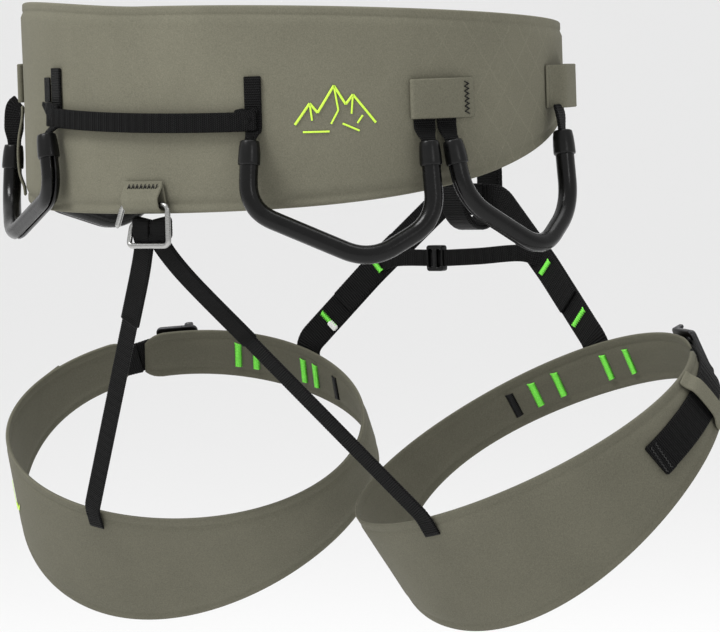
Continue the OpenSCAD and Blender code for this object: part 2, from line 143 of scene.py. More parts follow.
# ---------------------------------------------------------------- materials
class Look:
    """A node material being built, with short ways to add the nodes that feed its shader."""

    def __init__(self, name, rough=0.5, specular=0.5):
        self.mat = bpy.data.materials.new(name)
        self.mat.use_nodes = True
        self.tree = self.mat.node_tree
        self.shader = self.tree.nodes["Principled BSDF"]
        self.obj = self.add_node("TexCoord").outputs["Object"]
        self.put("Roughness", rough)
        self.put("Specular IOR Level", specular)

    def add_node(self, kind):
        return self.tree.nodes.new("ShaderNode" + kind)

    def feed(self, socket, value):
        """Link another node's output to a socket, or set the socket to a plain value."""
        if isinstance(value, bpy.types.NodeSocket):
            self.tree.links.new(value, socket)
        else:
            socket.default_value = value

    def put(self, name, value):
        self.feed(self.shader.inputs[name], value)

    def math(self, op, a, b=None):
        node = self.add_node("Math")
        node.operation = op
        self.feed(node.inputs[0], a)
        if b is not None:
            self.feed(node.inputs[1], b)
        return node.outputs[0]

    def mul(self, a, b):
        return self.math("MULTIPLY", a, b)

    def add(self, a, b):
        return self.math("ADD", a, b)

    def wave(self, run, period):
        return self.math("SINE", self.mul(run, 2 * pi / period))

    def noise(self, scale, detail=2.0, rough=0.5, coords=None):
        node = self.add_node("TexNoise")
        for name, value in (("Scale", scale), ("Detail", detail), ("Roughness", rough),
                            ("Vector", coords or self.obj)):
            self.feed(node.inputs[name], value)
        return node.outputs["Fac"]

    def colour(self, fac, low, dark, high, light):
        """Base colour: dark where fac is below low, light where it is above high."""
        node = self.add_node("ValToRGB")
        for element, place, tone in zip(node.color_ramp.elements, (low, high), (dark, light)):
            element.position = place
            element.color = (*tone, 1)
        self.feed(node.inputs["Fac"], fac)
        self.put("Base Color", node.outputs["Color"])

    def bump(self, height, distance, strength=1.0, normal=None):
        node = self.add_node("Bump")
        node.inputs["Strength"].default_value = strength
        node.inputs["Distance"].default_value = distance
        self.feed(node.inputs["Height"], height)
        if normal is not None:
            self.feed(node.inputs["Normal"], normal)
        self.put("Normal", node.outputs["Normal"])
        return node.outputs["Normal"]

    def weave_axes(self):
        """Lengths along and across the piece, in metres, from its own UVs."""
        uv_map = self.add_node("UVMap")
        uv_map.uv_map = "weave"
        split = self.add_node("SeparateXYZ")
        self.feed(split.inputs[0], uv_map.outputs["UV"])
        return split.outputs["X"], split.outputs["Y"]


def laminate(name, light, dark, lattice=False):
    """Matte laminated woven fabric; lattice adds the raised reinforcing threads in tall diamonds."""
    look = Look(name, 0.86, 0.15)
    fine = look.noise(1500, 2, 0.6)
    mixed = look.add(look.mul(look.noise(22, 3), 0.3), look.mul(fine, 0.7))
    u, v = look.weave_axes()
    if lattice:
        raised = lattice_height(look, u, v)
        mixed = look.add(mixed, look.mul(raised, 0.16))
    look.colour(mixed, 0.3, dark, 0.7, light)
    thread_pitch = 0.0009
    cloth = look.mul(look.wave(u, thread_pitch), look.wave(v, thread_pitch))
    normal = look.bump(look.add(look.mul(cloth, 0.18), fine), 0.00025, 0.55)
    normal = look.bump(look.noise(60, 4, 0.55), 0.0012, 0.35, normal)
    if lattice:
        look.bump(raised, 0.0002, 0.6, normal)
    return look.mat


def lattice_height(look, u, v):
    """Two families of slanting threads; they fade out towards the back centre of the belt."""
    spacing, slope, half_width = 0.019, 2.0, 0.0007
    lines = []
    for sign in (1, -1):
        cell = look.math("PINGPONG", look.add(u, look.mul(v, sign / slope)), spacing / 2)
        near = look.math("MINIMUM", look.math("DIVIDE", cell, half_width), 1)
        lines.append(look.math("SUBTRACT", 1, near))
    fade = look.add_node("MapRange")
    fade.inputs["From Min"].default_value = 0.13
    fade.inputs["From Max"].default_value = 0.23
    look.feed(fade.inputs["Value"], look.math("ABSOLUTE", look.math("SUBTRACT", u, BELT_RUN / 2)))
    return look.mul(look.math("MAXIMUM", *lines), fade.outputs["Result"])


def webbing(name, rib, twill=True, level=0.005):
    """Black nylon webbing: ribs across the strap and a fine weave, from the strap's own UVs."""
    look = Look(name, 0.5, 0.07)
    u, v = look.weave_axes()
    slant = look.add(look.mul(u, 0.5), v) if twill else v
    weave = look.add(look.mul(look.wave(u, rib), 0.35), look.mul(look.wave(slant, rib * 0.8), 0.3))
    look.colour(look.add(look.mul(weave, 0.7), 0.45), 0.25, (level * 0.2,) * 3, 0.95, (level * 3.2,) * 3)
    look.bump(look.add(weave, look.mul(look.noise(2500, 2, 0.6), 0.5)), 0.0006)
    return look.mat


def plastic(name, level, rough):
    """Satin black moulded plastic with a faint orange-peel surface and rubbed spots."""
    look = Look(name, specular=0.2)
    worn = look.noise(120, 4, 0.6)
    look.colour(worn, 0.35, (level * 0.8,) * 3, 0.75, (level * 1.5,) * 3)
    look.put("Roughness", look.add(look.mul(worn, 0.22), rough - 0.11))
    look.bump(look.noise(700), 0.0002, 0.35)
    return look.mat


def metal(name, colour, rough, brushed):
    look = Look(name)
    stretch = look.add_node("Mapping")
    stretch.inputs["Scale"].default_value = (1, 1, 8) if brushed else (1, 1, 1)
    look.feed(stretch.inputs["Vector"], look.obj)
    grain = look.noise(400, 3, 0.6, stretch.outputs["Vector"])
    look.colour(grain, 0.3, [c * 0.8 for c in colour], 0.7, colour)
    look.put("Roughness", look.add(look.mul(grain, 0.2), rough - 0.1))
    look.put("Metallic", 1.0)
    look.bump(grain, 0.00012, 0.3)
    return look.mat


def thread(name, light, dark):
    look = Look(name, 0.55, 0.2)
    twist = look.noise(1800, 2, 0.6)
    look.colour(twist, 0.3, dark, 0.7, light)
    look.bump(twist, 0.0003, 0.6)
    return look.mat


OLIVE = laminate("olive_laminate", (0.158, 0.152, 0.113), (0.104, 0.100, 0.074), lattice=True)
OLIVE_PLAIN = laminate("olive_laminate_plain", (0.150, 0.145, 0.108), (0.099, 0.095, 0.070))
# Leg loops: the belt's olive laminate made darker, painted shade on the same fabric
LEG_OLIVE_PAINTED_SHADE = laminate("olive_leg_laminate_painted_shade", (0.128, 0.123, 0.092), (0.084, 0.081, 0.060))
# Lining: the same olive laminate darker still, painted shade for the inner faces
LINING_PAINTED_SHADE = laminate("olive_lining_painted_shade", (0.104, 0.100, 0.074), (0.070, 0.067, 0.049))
WEB = webbing("ribbed_webbing", 0.0013)
WEB_FINE = webbing("fine_webbing", 0.0010, twill=False)
ELASTIC = webbing("knitted_elastic", 0.0007, level=0.0045)
PLASTIC = plastic("moulded_plastic", 0.0018, 0.25)
SLEEVE = plastic("sleeve_plastic", 0.0026, 0.31)
BUCKLE = metal("black_anodised_metal", (0.045, 0.045, 0.047), 0.3, False)
STEEL = metal("satin_steel", (0.36, 0.36, 0.35), 0.28, True)
LIME = thread("lime_thread", (0.24, 0.86, 0.10), (0.12, 0.55, 0.05))
BLACK_THREAD = thread("black_thread", (0.006, 0.006, 0.006), (0.002, 0.002, 0.002))
MARK = thread("lime_print", (0.60, 0.86, 0.09), (0.48, 0.74, 0.06))
LABEL = webbing("label_tape", 0.0006, level=0.0045)
GREY_THREAD = thread("grey_thread", (0.055, 0.055, 0.053), (0.02, 0.02, 0.02))
WHITE = thread("white_tape", (0.62, 0.62, 0.60), (0.5, 0.5, 0.48))

MATS_OF_SLOT = {
    "laminate": (OLIVE, OLIVE_PLAIN, LEG_OLIVE_PAINTED_SHADE),
    "lining": (LINING_PAINTED_SHADE,),
    "webbing": (WEB, WEB_FINE, BLACK_THREAD, LABEL, GREY_THREAD, WHITE),
    "elastic": (ELASTIC,),
    "moulded_plastic": (PLASTIC, SLEEVE),
    "buckle_metal": (BUCKLE,),
    "hook_steel": (STEEL,),
    "thread": (LIME, MARK),
}
SLOT_OF = {mat: slot for slot, mats in MATS_OF_SLOT.items() for mat in mats}


# ---------------------------------------------------------------- mesh building
def new_object(name, data):
    obj = bpy.data.objects.new(name, data)
    bpy.context.scene.collection.objects.link(obj)
    return obj


def smooth_piece(name, mesh, mat):
    mesh.polygons.foreach_set("use_smooth", [True] * len(mesh.polygons))
    mesh.materials.clear()
    mesh.materials.append(mat)
    obj = new_object(name, mesh)
    return obj


def make(name, verts, faces, mat, loop_uv=None):
    """A smooth mesh from points in millimetres; loop_uv gives one (u, v) in millimetres per face corner."""
    mesh = bpy.data.meshes.new(name)
    mesh.from_pydata([Vector(v) * MM for v in verts], [], faces)
    if loop_uv:
        layer = mesh.uv_layers.new(name="weave")
        layer.data.foreach_set("uv", [c * MM for uv in loop_uv for c in uv])
    mesh.update()
    return smooth_piece(name, mesh, mat)


def attach(piece, body, *nodes):
    """The piece moves with a body and stands in for its CAD nodes."""
    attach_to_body(piece, body)
    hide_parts(*nodes)


def loft(name, rings, mat, caps=True, wrap=False):
    """Skin over rings that all have the same number of points, with lengths kept in the UVs."""
    n, m = len(rings[0]), len(rings)
    verts = [p for ring in rings for p in ring]
    across = [0.0]
    middle = rings[m // 2]
    for j in range(n):
        across.append(across[-1] + (Vector(middle[(j + 1) % n]) - Vector(middle[j])).length)
    along = [0.0]
    for k in range(m if wrap else m - 1):
        a, b = rings[k], rings[(k + 1) % m]
        step = sum((Vector(b[j]) - Vector(a[j])).length for j in range(0, n, max(1, n // 4)))
        along.append(along[-1] + step / len(range(0, n, max(1, n // 4))))
    faces, uvs = [], []
    for k in range(m if wrap else m - 1):
        for j in range(n):
            a, b = k * n, ((k + 1) % m) * n
            i = (j + 1) % n
            faces.append((a + j, a + i, b + i, b + j))
            uvs += [(along[k], across[j]), (along[k], across[j + 1]),
                    (along[k + 1], across[j + 1]), (along[k + 1], across[j])]
    if caps and not wrap:
        faces.append(tuple(range(n - 1, -1, -1)))
        faces.append(tuple((m - 1) * n + j for j in range(n)))
        uvs += [(along[0], across[j]) for j in range(n - 1, -1, -1)]
        uvs += [(along[-1], across[j]) for j in range(n)]
    return make(name, verts, faces, mat, uvs)


def arc_lengths(points):
    total = [0.0]
    for a, b in zip(points, points[1:]):
        total.append(total[-1] + (b - a).length)
    return total


def curve_points(points, step):
    """Even points along a smooth curve through given points."""
    pts = [Vector(p) for p in points]
    ends = [2 * pts[0] - pts[1]] + pts + [2 * pts[-1] - pts[-2]]
    dense = []
    for k in range(len(pts) - 1):
        p0, p1, p2, p3 = ends[k : k + 4]
        for i in range(12):
            t = i / 12
            dense.append(0.5 * (2 * p1 + (p2 - p0) * t + (2 * p0 - 5 * p1 + 4 * p2 - p3) * t * t
                                + (3 * p1 - p0 - 3 * p2 + p3) * t ** 3))
    dense.append(pts[-1])
    return resample(dense, step)


def resample(points, step):
    lengths = arc_lengths(points)
    count = max(2, ceil(lengths[-1] / step))
    out, k = [], 0
    for i in range(count + 1):
        want = lengths[-1] * i / count
        while k < len(points) - 2 and lengths[k + 1] < want:
            k += 1
        span = lengths[k + 1] - lengths[k]
        out.append(points[k].lerp(points[k + 1], (want - lengths[k]) / span if span else 0))
    return out


def rounded(points, r, n=10):
    """Straight runs with round corners."""
    pts = [Vector(p) for p in points]
    out = [pts[0]]
    for a, b, c in zip(pts, pts[1:], pts[2:]):
        p = b + (a - b).normalized() * r
        q = b + (c - b).normalized() * r
        for i in range(n + 1):
            k = i / n
            out.append(p.lerp(b, k).lerp(b.lerp(q, k), k))
    out.append(pts[-1])
    return out


def tangent(path, i):
    return (path[min(i + 1, len(path) - 1)] - path[max(i - 1, 0)]).normalized()


def strap_section(w, t):
    """Round-edged strap section: (across, out) points, a little thicker at its two selvedges."""
    hw, ht = w / 2, t / 2
    r = min(ht, 0.9)
    half = [(hw, 0), (hw - 0.3 * r, 0.75 * ht), (hw - r, ht * 1.06), (hw - 2.2 * r, ht * 0.96),
            (hw * 0.45, ht), (0, ht)]
    top = half + [(-x, y) for x, y in reversed(half[:-1])]
    return top + [(x, -y) for x, y in reversed(top[1:-1])]


def ribbed_ring(centre, side, out, w, t, rib):
    """One ring of a strap, thicker by rib on each face; rings take plus and minus rib by turns."""
    return [centre + side * x + out * (y + (rib if y > 0 else -rib)) for x, y in strap_section(w, t)]


def strap(name, path, across, w, t, mat, rib=0.0, width_at=None, end_round=1.2):
    """Strap along a path of even points. across is a direction, or a function of (index, point)."""
    rings = []
    m = len(path)
    for i, p in enumerate(path):
        d = tangent(path, i)
        a = across(i, p) if callable(across) else Vector(across)
        s = (a - a.dot(d) * d).normalized()
        n = d.cross(s)
        k = i / (m - 1)
        width = width_at(k) if width_at else w
        thick = t
        from_end = min(i, m - 1 - i)
        if from_end == 0:
            thick = t * 0.35
            width -= end_round
        rings.append(ribbed_ring(p, s, n, width, thick, rib * (1 if i % 2 else -1)))
    return loft(name, rings, mat)


def circle(centre, x, y, sides):
    turns = [2 * pi * k / sides for k in range(sides)]
    return [centre + x * cos(a) + y * sin(a) for a in turns]


def sweep(name, path, r, mat, sides=10, up=UP, taper=None):
    rings = []
    for i, p in enumerate(path):
        d = tangent(path, i)
        x = up.cross(d)
        if x.length < 1e-3:
            x = SIDEWAYS.cross(d)
        x.normalize()
        y = d.cross(x)
        rr = r * (taper(i / (len(path) - 1)) if taper else 1)
        rings.append(circle(p, x * rr, y * rr, sides))
    return loft(name, rings, mat)


def join(name, objs):
    """One piece from several meshes made above, keeping their materials."""
    for o in bpy.context.selected_objects:
        o.select_set(False)
    for o in objs:
        o.select_set(True)
    bpy.context.view_layer.objects.active = objs[0]
    bpy.ops.object.join()
    objs[0].name = name
    objs[0].data.name = name
    return objs[0]


def tack(name, centre, along, across, length, width, mat=BLACK_THREAD, passes=22, r=0.33, rise=0.25):
    """Bar tack: one thread sewn to and fro across a narrow bar."""
    along = along.normalized()
    out = along.cross(across).normalized()
    across = out.cross(along)
    path = []
    for i in range(passes + 1):
        side = 1 if i % 2 else -1
        base = centre + along * (length * (i / passes - 0.5))
        path.append(base + across * (side * width / 2) - out * 0.1)
        path.append(base + across * (side * width * 0.36) + out * rise)
        if i < passes:
            path.append(base + along * (0.5 * length / passes) + out * (rise + 0.12))
    return sweep(name, path, r, mat, sides=5, up=out)


# ---------------------------------------------------------------- bands: waist belt and leg loops
EDGE_STEPS = (0, 0.25, 0.8, 1.7, 2.9, 3.9, 4.5, 5.1, 5.9, 7.5, 10)


def edge_profile(d, t_mid, t_edge):
    """How far a face stands out at distance d from an edge: thin rim, groove, then full thickness."""
    rim = min(1.0, max(0.0, d) / 0.8) ** 0.5 * t_edge
    if d <= 3.9:
        return rim
    if d <= 4.6:
        return t_edge * 0.72
    k = min(1.0, (d - 4.6) / 3.0)
    return t_edge * 0.72 + (t_mid - t_edge * 0.72) * (k * k * (3 - 2 * k))


def band_depths(height, inner_steps=14):
    lower = [d for d in EDGE_STEPS if d < height / 2 - 0.5]
    start = lower[-1]
    middle = [start + (height - 2 * start) * i / inner_steps for i in range(1, inner_steps)]
    return lower + middle + [height - d for d in reversed(lower)]


def fabric_noise(p, amount):
    return amount * noise.noise(Vector(p) * 0.02)


def fitted_depths(h, nominal):
    """Depths below the edge for a band h high, all bands of one kind having as many as a nominal one."""
    edge = EDGE_STEPS[-1]
    scale = min(1.0, h / 2 / (edge + 2))
    depths = []
    for d in band_depths(nominal):
        near = min(d, nominal - d)
        if near <= edge:
            depths.append(near * scale if d < nominal / 2 else h - near * scale)
        else:
            lo = edge * scale
            depths.append(lo + (d - edge) / (nominal - 2 * edge) * (h - 2 * lo))
    return depths


def turn_rings(rings, flip):
    return [list(reversed(r)) for r in rings] if flip else rings


def spread(a, b, step):
    n = ceil(abs(b - a) / step)
    return [a + (b - a) * i / n for i in range(n + 1)]


def build_belt():
    def rings(face_sign, mid, t_mid, t_edge, back, wave):
        out = []
        for t in spread(-BELT_END, BELT_END, 1.25):
            h = belt_top(t) - belt_low(t)
            depths = fitted_depths(h, 110.0)
            ring = []
            for d in depths:
                near = min(d, h - d)
                off = mid + face_sign * edge_profile(near, t_mid, t_edge)
                p = belt_at(t, belt_top(t) - d, off)
                ring.append(p + belt_n(t) * fabric_noise(p, wave) * min(1, near / 8))
            behind = [belt_at(t, belt_top(t) - d, back) for d in depths[1:-1:3]]
            out.append(ring + behind[::-1])
        return out

    outer = loft("belt_face", turn_rings(rings(1, -1.9, 1.9, 1.1, -2.0, 0.5), False), OLIVE)
    inner = loft("belt_inner_face", turn_rings(rings(-1, -2.1, 1.9, 1.0, -2.0, 0.3), True), LINING_PAINTED_SHADE)
    attach(outer, "belt", "belt_shell", "belt_core")
    attach(inner, "belt", "belt_lining")


def build_leg(side, s):
    turned = 0.0 if s > 0 else LEFT_PAD_TURN
    angles = spread(PAD_START + turned, PAD_END + turned, 1.5)

    def rings(face_sign, mid, t_mid, t_edge, back, wave):
        out = []
        for i, a in enumerate(angles):
            h = leg_height(a)
            from_end = min(i, len(angles) - 1 - i)
            inset = (5.0, 2.6, 1.2, 0.4)[from_end] if from_end < 4 else 0.0
            thin = min(1.0, 0.3 + from_end * 0.35)
            ring, behind = [], []
            for k, depth in enumerate(fitted_depths(h, 70.0)):
                x = inset + depth * (h - 2 * inset) / h
                gap = min(x, h - x) - inset
                p = leg_at(a, x / h, mid + face_sign * edge_profile(gap, t_mid, t_edge) * thin)
                ring.append(mirrored(p + leg_n(a, x / h) * fabric_noise(p, wave) * min(1, gap / 8), s))
                if k % 3 == 1:
                    behind.append(mirrored(leg_at(a, x / h, back), s))
            out.append(ring + behind[::-1])
        return out

    flip = s > 0
    outer = loft("leg_face_" + side, turn_rings(rings(1, 0.05, 1.5, 1.15, 0.0, 0.5), flip), LEG_OLIVE_PAINTED_SHADE)
    inner = loft("leg_inner_face_" + side, turn_rings(rings(-1, -0.05, 1.3, 1.0, 0.0, 0.4), not flip), LINING_PAINTED_SHADE)
    for piece, node in ((outer, "leg_shell_"), (inner, "leg_lining_")):
        attach(piece, "leg_loop_" + side, node + side)


build_belt()
for side, s in SIDES:
    build_leg(side, s)


# ---------------------------------------------------------------- gear loops
LOOPS = {
    "rear_right": ((26.4, -17, 8), (26.2, -52.5, 13.5), (49.3, -81, 17), (62.8, -61, 13.5), (62.5, -20, 8)),
    "front_right": ((67.8, -20, 8), (69.4, -51, 13.5), (87.8, -79.5, 17), (100.5, -58, 13.5), (103, -18, 8)),
    "rear_left": ((24.5, -12, 8), (22, -43, 9), (49, -67, 8.5), (62, -47, 10), (62.5, -19, 8)),
    "front_left": ((82, -14, 8), (84.5, -50, 13), (107, -66, 16), (117, -47, 13.5), (119, -10, 8)),
}
TUBE_R = 5.0
TUBE_WALL = 1.3
TUBE_SLIT = 26.0
SLEEVE_LEN = 12.5


def tube_section():
    """Open C section with round lips; the slit at 180 faces the outer curve of the loop."""
    r_in = TUBE_R - TUBE_WALL
    mid = (TUBE_R + r_in) / 2
    start, stop = 180 + TUBE_SLIT / 2, 540 - TUBE_SLIT / 2
    outer = [(TUBE_R, a) for a in spread(start, stop, 15)]
    inner = [(r_in, a) for a in spread(stop, start, 18)]
    lip = TUBE_WALL * 0.45 / mid * 180 / pi
    return outer + [(mid, stop + lip)] + inner + [(mid, start - lip)]


def build_gear_loop(kind, side, s):
    corners = LOOPS[f"{kind}_{side}"]
    points = [belt_at(*c) for c in corners]
    path = resample(rounded(points, 15, 14), 2.0)
    t0, t1 = corners[0][0], corners[-1][0]
    outs = [belt_n(t0 + (t1 - t0) * i / (len(path) - 1)) for i in range(len(path))]
    section = tube_section()
    rings = []
    for i, p in enumerate(path):
        d = tangent(path, i)
        x = outs[i].cross(d).normalized()
        z = d.cross(x)
        rings.append(mirror_all([p + r * (x * cosd(a) + z * sind(a)) for r, a in section], s))
    tag = f"{kind}_{side}"
    body = "gear_loop_" + tag
    tube = loft("gear_loop_tube_" + tag, turn_rings(rings, s > 0), PLASTIC)
    attach(tube, body, "gear_tube_" + tag)
    core_path = mirror_all(path, s)
    core = strap("gear_loop_core_" + tag, core_path,
                 lambda i, p: mirrored(outs[i], s).cross(tangent(core_path, i)), 5.4, 1.8, WEB_FINE)
    attach(core, body, "gear_core_" + tag)
    sleeves = [sleeve(points[0], points[1], belt_n(t0), s, "a"),
               sleeve(points[4], points[3], belt_n(t1), s, "b")]
    attach(join("gear_loop_sleeves_" + tag, sleeves), body, "gear_sleeves_" + tag)


def sleeve(p, q, out, s, tag):
    """Short moulded collar, rolled at its mouth and stepped down where it meets the tube."""
    d = (q - p).normalized()
    x = out.cross(d).normalized()
    z = d.cross(x)
    profile = [(3.6, 3.0), (3.6, 0.5), (3.9, -0.3), (4.4, -0.5), (4.9, -0.2), (5.15, 0.5), (5.55, 3),
               (5.85, 7), (5.95, SLEEVE_LEN - 1.6), (5.95, SLEEVE_LEN - 0.8), (5.75, SLEEVE_LEN - 0.2),
               (5.4, SLEEVE_LEN), (TUBE_R + 0.03, SLEEVE_LEN)]
    rings = [mirror_all(circle(p + d * h, x * radius, z * radius, 28), s) for radius, h in profile]
    return loft("sleeve_" + tag, turn_rings(rings, s > 0), SLEEVE, caps=False)


for side, s in SIDES:
    for kind in ("rear", "front"):
        build_gear_loop(kind, side, s)


# ---------------------------------------------------------------- placing small things on the surfaces
def basis(along, out):
    """Columns: x along the strap, y across it, z outward."""
    z = out.normalized()
    y = z.cross(along).normalized()
    x = y.cross(z)
    return x, y, z


def on_belt(t, z, off):
    return (belt_at(t, z, off), *basis(belt_dir(t), belt_n(t)))


def on_leg(a, v, off):
    return (leg_at(a, v, off), *basis(-leg_dir(a, v), leg_n(a, v)))


def place(spot, p):
    o, x, y, z = spot
    return o + x * p[0] + y * p[1] + z * p[2]


def side_spot(spot, s):
    """The same place on side s; local x and y keep their meaning and z stays outward."""
    return tuple(mirrored(v, s) for v in spot)


def plate(name, spot, outline, hole_list, z0, z1, mat, round_r=0.5):
    """Flat plate with rounded outline and holes, bevelled, standing on a surface."""
    curve = bpy.data.curves.new(name, "CURVE")
    curve.dimensions = "2D"
    curve.fill_mode = "BOTH"
    curve.extrude = max(0.05, (z1 - z0) / 2 - round_r) * MM
    curve.bevel_depth = round_r * MM
    curve.bevel_resolution = 2
    curve.offset = -round_r * MM
    for loop in [outline] + hole_list:
        spline = curve.splines.new("POLY")
        spline.points.add(len(loop) - 1)
        for point, (x, y) in zip(spline.points, loop):
            point.co = (x * MM, y * MM, 0, 1)
        spline.use_cyclic_u = True
    holder = new_object(name, curve)
    graph = bpy.context.evaluated_depsgraph_get()
    mesh = bpy.data.meshes.new_from_object(holder.evaluated_get(graph))
    bpy.data.objects.remove(holder)
    bpy.data.curves.remove(curve)
    o, x, y, z = spot
    centre = o + z * ((z0 + z1) / 2)
    for vert in mesh.vertices:
        q = vert.co.copy()
        vert.co = centre * MM + x * q.x + y * q.y + z * q.z
    if x.cross(y).dot(z) < 0:
        mesh.flip_normals()
    mesh.name = name
    obj = smooth_piece(name, mesh, mat)
    mesh.set_sharp_from_angle(angle=radians(35))
    return obj


def round_rect(w, h, r, cx=0.0, cy=0.0, n=5):
    pts = []
    for sx, sy, a0 in ((1, 1, 0), (-1, 1, 90), (-1, -1, 180), (1, -1, 270)):
        for i in range(n + 1):
            a = radians(a0 + 90 * i / n)
            pts.append((cx + sx * (w / 2 - r) + r * cos(a), cy + sy * (h / 2 - r) + r * sin(a)))
    return pts


def belt_path(t0, t1, z, off, step=1.0):
    """Even points round the belt; z and off may be functions of the angle."""
    pts = []
    for t in spread(t0, t1, 0.5):
        zz = z(t) if callable(z) else z
        oo = off(t) if callable(off) else off
        pts.append(belt_at(t, zz, oo))
    return resample(pts, step)


def smooth_step(k):
    k = max(0.0, min(1.0, k))
    return k * k * (3 - 2 * k)


# ---------------------------------------------------------------- narrow webbing of the waist belt
def tapered_anchor(name, t, z_top, z_low, bulge, s, w_top, w_low, edge_on=False):
    """Webbing sewn to the belt above and gathered into the gear loop's sleeve below.
    edge_on stands it on its edge; a bulge above 5 brings it out of a tab that stands off the belt."""
    across = belt_dir(t)
    if edge_on:
        rows = ((z_top - 1, 3.6), (z_top - 4, 6.4), ((z_top + z_low) / 2, 7.4), (z_low - 2.8, 7.6))
        across = belt_n(t) * 0.9 + belt_dir(t) * 0.3
    elif bulge > 5:
        rows = ((z_top, bulge - 1), ((z_top + z_low) / 2, bulge + 0.6), (z_low - 2.8, 7.6))
    else:
        rows = ((z_top, 1.0), (z_top - 2.5, 1.1), (z_low + 6.5, 1.3), (z_low + 3.0, 3.6),
                (z_low + 0.2, 6.8), (z_low - 2.8, 7.6))
    pts = mirror_all(curve_points([belt_at(t, z, off) for z, off in rows], 0.9), s)
    full = arc_lengths(pts)[-1]

    def width(k):
        from_low = full * (1 - k)
        return w_low + (w_top - w_low) * smooth_step((from_low - 3.0) / 9.0)

    piece = strap(name, pts, mirrored(across, s), w_top, 1.7, WEB, rib=0.06, width_at=width)
    start, end = mirror_all((belt_at(t, z_low + 6, 2), belt_at(t, z_low, 7)), s)
    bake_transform(piece)
    return piece


def build_anchors(side, s):
    if s > 0:
        rows = (("a", 26.4, 17, 0, 9.6, 6.4, "rear"), ("b", 62.5, -7, 0, 12.0, 8.2, "rear"),
                ("c", 67.8, -7, 0, 11.0, 8.2, "front"), ("d", 103, -3.5, 6.6, 11.0, 8.2, "front"))
    else:
        rows = (("a", 24.5, 23.6, 0, 9.6, 6.4, "rear"), ("b", 62.5, 5.5, 7, 12.0, 8.2, "rear"),
                ("c", 82, 3, 0, 11.0, 8.2, "front"), ("d", 119, -1, 0, 11.0, 8.2, "front"))
    first = None
    for tag, t, z_top, bulge, w, w_low, kind in rows:
        corners = LOOPS[f"{kind}_{side}"]
        z_low = corners[0 if tag in "ac" else 4][1] + 1
        piece = tapered_anchor(f"gear_anchor_{tag}_{side}", t, z_top, z_low, bulge, s, w, w_low,
                               edge_on=(s < 0 and tag == "b"))
        first = first or piece
    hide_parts(f"gear_anchors_{side}")


def build_haul_loop():
    """Narrow ribbed strap across the back; its left end is folded to a point outside the anchor."""
    t_end = 27.2
    path = belt_path(-t_end, t_end, lambda t: -4.4 - 0.08 * t - 1.6 * (1 - (t / t_end) ** 2), 3.5, 0.8)
    body = strap("haul_strap_band", path, UP, 10.4, 1.5, WEB, rib=0.14)
    folds = []
    for s in (-1, 1):
        t = 27.0 * s
        rise = -2.2 * s
        tip = belt_at(t + (0.5 if s > 0 else -2.9), 2.6 + rise, 2.6)
        points = [belt_at(t - 4 * s, -2.8 + rise, 3.0), belt_at(t - 1.2 * s, -1.2 + rise, 3.7), tip]
        folds.append(strap(f"haul_fold_{s}", curve_points(points, 0.8), UP, 9, 1.3, WEB, rib=0.1,
                           width_at=lambda k: 9.4 - 6.8 * smooth_step((k - 0.3) / 0.7)))
    attach(join("haul_strap_visual", [body] + folds), "belt", "haul_strap")


def build_label():
    spot = on_belt(-28.9, 12, 0.25)
    piece = plate("size_label", spot, round_rect(6.8, 13.2, 0.5), [], 0.0, 0.75, LABEL, 0.25)
    attach(piece, "belt", "haul_label")


# ---------------------------------------------------------------- olive fabric tabs
def build_side_tab(side, s):
    """Tab folded at its rear edge, where it stands off the belt, and sewn flat at its front edge."""
    t0, t1 = 59.5, 75.0
    w = t1 - t0
    z = 2.5 if s > 0 else 15

    def rise(t):
        return 1.0 + 2.3 * smooth_step((t1 - 1.2 - t) / (w * 0.35))

    upper = belt_path(t1, t0 + 0.5, z, rise, 0.8)
    fold = [belt_at(t0 + 0.5 - 0.45 * sind(a), z, 2.15 + 1.15 * cosd(a))
            for a in spread(20, 160, 20)]
    under = belt_path(t0 + 0.6, t0 + w * 0.6, z, 0.95, 0.8)
    path = mirror_all(resample(upper + fold + under, 0.8), s)
    tab = strap("side_tab_visual_" + side, path, UP, 21, 1.3, OLIVE_PLAIN)
    attach(tab, "belt", "side_tab_" + side)
    spot = side_spot(on_belt(t1 - 2.1, z, rise(t1 - 2.1) + 0.75), s)
    sewn = tack("side_tab_stitches_" + side, spot[0], UP, spot[1] * -s, 17, 3.4, passes=13, r=0.3)
    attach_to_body(sewn, "belt")
    return sewn


def build_side_strap():
    """Narrow olive strap on the left that stands off the belt like a keeper."""
    t = -57.2
    rows = ((3, 0.9), (-4, 1.3), (-14, 3.3), (-24, 4.1), (-34, 3.5), (-41, 1.4), (-46, 0.9))
    path = curve_points([belt_at(t, z, off) for z, off in rows], 0.9)
    band = strap("side_strap_band", path, belt_dir(t), 8.5, 1.3, OLIVE_PLAIN)
    knot = tack("side_strap_tack", belt_at(t, -1.5, 2.2), belt_dir(t), UP, 5.4, 2.2,
                passes=12, r=0.3, rise=0.2)
    attach(join("side_strap_visual", [band, knot]), "belt", "side_strap_left")


def build_front_tab(side, s):
    """Box-like fold of olive fabric that stands off the belt and leaves an upright slot."""
    t0 = 101.5 if s > 0 else 121.5
    t1 = t0 + 14.5
    w = t1 - t0

    def rise(t):
        k = (t - t0) / w
        return 0.9 + 7.6 * smooth_step((k - 0.1) / 0.16) * smooth_step((0.92 - k) / 0.16)

    path = mirror_all(belt_path(t0, t1, 6, rise, 0.7), s)
    tab = strap("front_tab_band_" + side, path, UP, 23, 1.4, OLIVE_PLAIN)
    attach(tab, "belt", "front_tab_" + side)
    spot = side_spot(on_belt(t1 - 1.4, 6, 1.75), s)
    sewn = tack("front_tab_stitches_" + side, spot[0], UP, spot[1] * -s, 19, 2.6, passes=15, r=0.3)
    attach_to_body(sewn, "belt")


build_haul_loop()
build_label()
build_side_strap()
for side, s in SIDES:
    build_anchors(side, s)
    stitches = build_side_tab(side, s)
    build_front_tab(side, s)
    if s > 0:
        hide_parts("bar_tacks")


